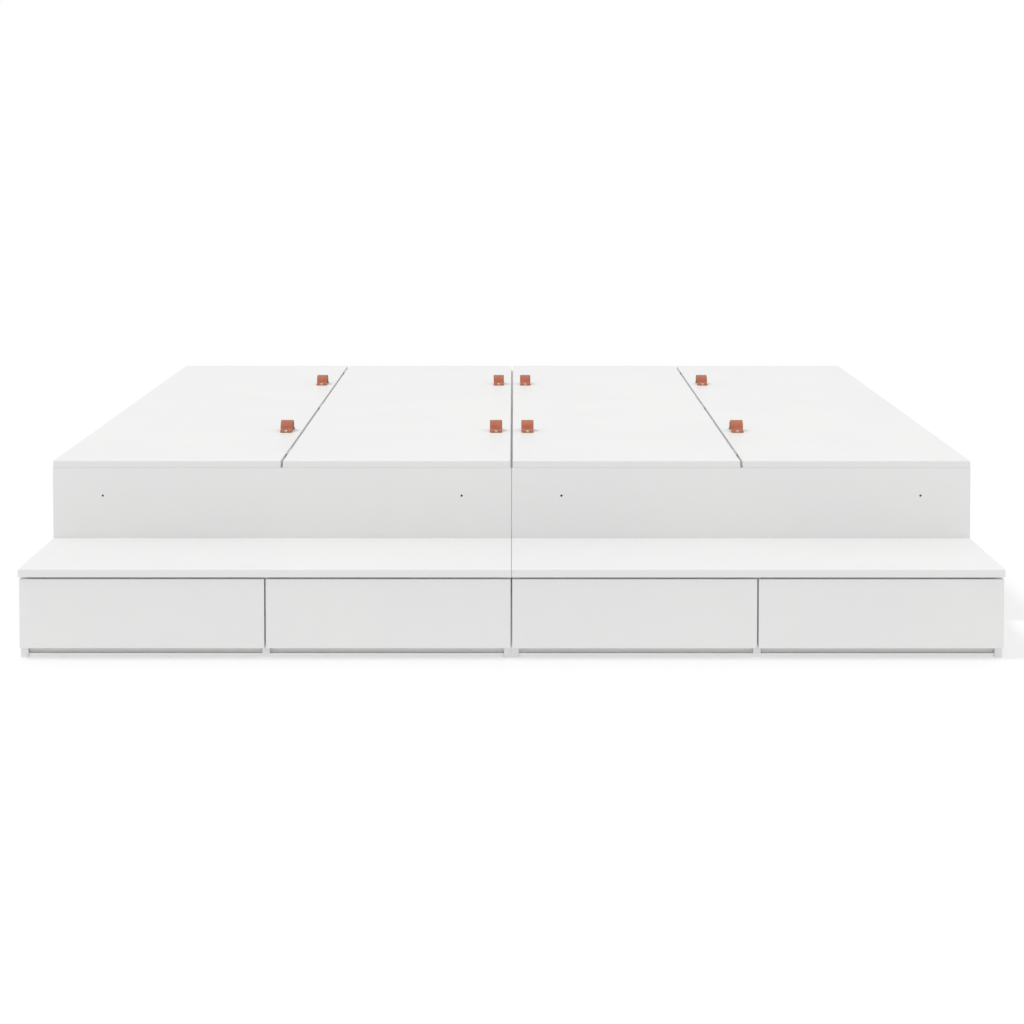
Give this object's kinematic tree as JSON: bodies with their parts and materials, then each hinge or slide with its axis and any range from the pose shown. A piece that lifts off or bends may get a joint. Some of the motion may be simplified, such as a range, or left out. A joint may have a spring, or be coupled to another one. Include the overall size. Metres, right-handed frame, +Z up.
{
  "type": "platform bed with storage drawers",
  "caption": "White panel platform bed: a chest with long hinged lids and leather pull straps behind a low step with full-width drawers.",
  "frame": {"origin": "on the floor, under the middle of the bed's footprint", "axes": "+Z up; the step and its drawers face -Y; +X is to the right seen from the front"},
  "size_m": [2.01, 2.356, 0.3794],
  "materials": {
    "white_board": "white melamine faced particle board with thin white edge band, satin",
    "leather": "cognac vegetable tanned leather with burnished cut edges",
    "hinge_steel": "zinc plated sheet steel, matt",
    "pin_steel": "bright drawn steel",
    "screw_steel": "nickel plated steel",
    "cam_zinc": "cast zinc, matt",
    "runner_plastic": "off-white moulded nylon",
    "hardboard": "hardboard with a white painted face"
  },
  "bodies": {
    "carcass": {"cam_locks": "cam_zinc", "chest_back_left": "white_board", "chest_back_right": "white_board", "chest_divider_left": "white_board", "chest_divider_right": "white_board", "chest_floor_left": "white_board", "chest_floor_right": "white_board", "chest_front_left": "white_board", "chest_front_right": "white_board", "chest_middle_left": "white_board", "chest_middle_right": "white_board", "chest_side_left": "white_board", "chest_side_right": "white_board", "hinge_fixed_leaves": "hinge_steel", "hinge_pins": "pin_steel", "panel_screws": "screw_steel", "runner_strips": "runner_plastic", "step_base_left": "white_board", "step_base_right": "white_board", "step_divider_left": "white_board", "step_divider_right": "white_board", "step_middle_left": "white_board", "step_middle_right": "white_board", "step_rails": "white_board", "step_side_left": "white_board", "step_side_right": "white_board", "step_top_left": "white_board", "step_top_right": "white_board"},
    "lid_outer_left": {"lid_outer_left": "white_board", "straps_outer_left": "leather", "lid_screws_outer_left": "screw_steel", "hinge_leaves_outer_left": "hinge_steel"},
    "drawer_outer_left": {"drawer_outer_front_left": "white_board", "drawer_outer_sides_left": "white_board", "drawer_outer_back_left": "white_board", "drawer_outer_bottom_left": "hardboard"},
    "lid_inner_left": {"lid_inner_left": "white_board", "straps_inner_left": "leather", "lid_screws_inner_left": "screw_steel", "hinge_leaves_inner_left": "hinge_steel"},
    "drawer_inner_left": {"drawer_inner_front_left": "white_board", "drawer_inner_sides_left": "white_board", "drawer_inner_back_left": "white_board", "drawer_inner_bottom_left": "hardboard"},
    "lid_outer_right": {"lid_outer_right": "white_board", "straps_outer_right": "leather", "lid_screws_outer_right": "screw_steel", "hinge_leaves_outer_right": "hinge_steel"},
    "drawer_outer_right": {"drawer_outer_front_right": "white_board", "drawer_outer_sides_right": "white_board", "drawer_outer_back_right": "white_board", "drawer_outer_bottom_right": "hardboard"},
    "lid_inner_right": {"lid_inner_right": "white_board", "straps_inner_right": "leather", "lid_screws_inner_right": "screw_steel", "hinge_leaves_inner_right": "hinge_steel"},
    "drawer_inner_right": {"drawer_inner_front_right": "white_board", "drawer_inner_sides_right": "white_board", "drawer_inner_back_right": "white_board", "drawer_inner_bottom_right": "hardboard"}
  },
  "joints": [
    {"name": "lid_outer_left_hinge", "type": "hinge", "parent": "carcass", "child": "lid_outer_left", "pos_m": [-1.0026, 0.178, 0.339], "axis": [0, -1, 0], "range_deg": [0, 95]},
    {"name": "drawer_outer_left_slide", "type": "slide", "parent": "carcass", "child": "drawer_outer_left", "axis": [0, -1, 0], "range_m": [0, 0.25]},
    {"name": "lid_inner_left_hinge", "type": "hinge", "parent": "carcass", "child": "lid_inner_left", "pos_m": [-0.501, 0.178, 0.3518], "axis": [0, -1, 0], "range_deg": [0, 90]},
    {"name": "drawer_inner_left_slide", "type": "slide", "parent": "carcass", "child": "drawer_inner_left", "axis": [0, -1, 0], "range_m": [0, 0.25]},
    {"name": "lid_outer_right_hinge", "type": "hinge", "parent": "carcass", "child": "lid_outer_right", "pos_m": [1.0026, 0.178, 0.339], "axis": [0, 1, 0], "range_deg": [0, 95]},
    {"name": "drawer_outer_right_slide", "type": "slide", "parent": "carcass", "child": "drawer_outer_right", "axis": [0, -1, 0], "range_m": [0, 0.25]},
    {"name": "lid_inner_right_hinge", "type": "hinge", "parent": "carcass", "child": "lid_inner_right", "pos_m": [0.501, 0.178, 0.3518], "axis": [0, 1, 0], "range_deg": [0, 90]},
    {"name": "drawer_inner_right_slide", "type": "slide", "parent": "carcass", "child": "drawer_inner_right", "axis": [0, -1, 0], "range_m": [0, 0.25]}
  ]
}
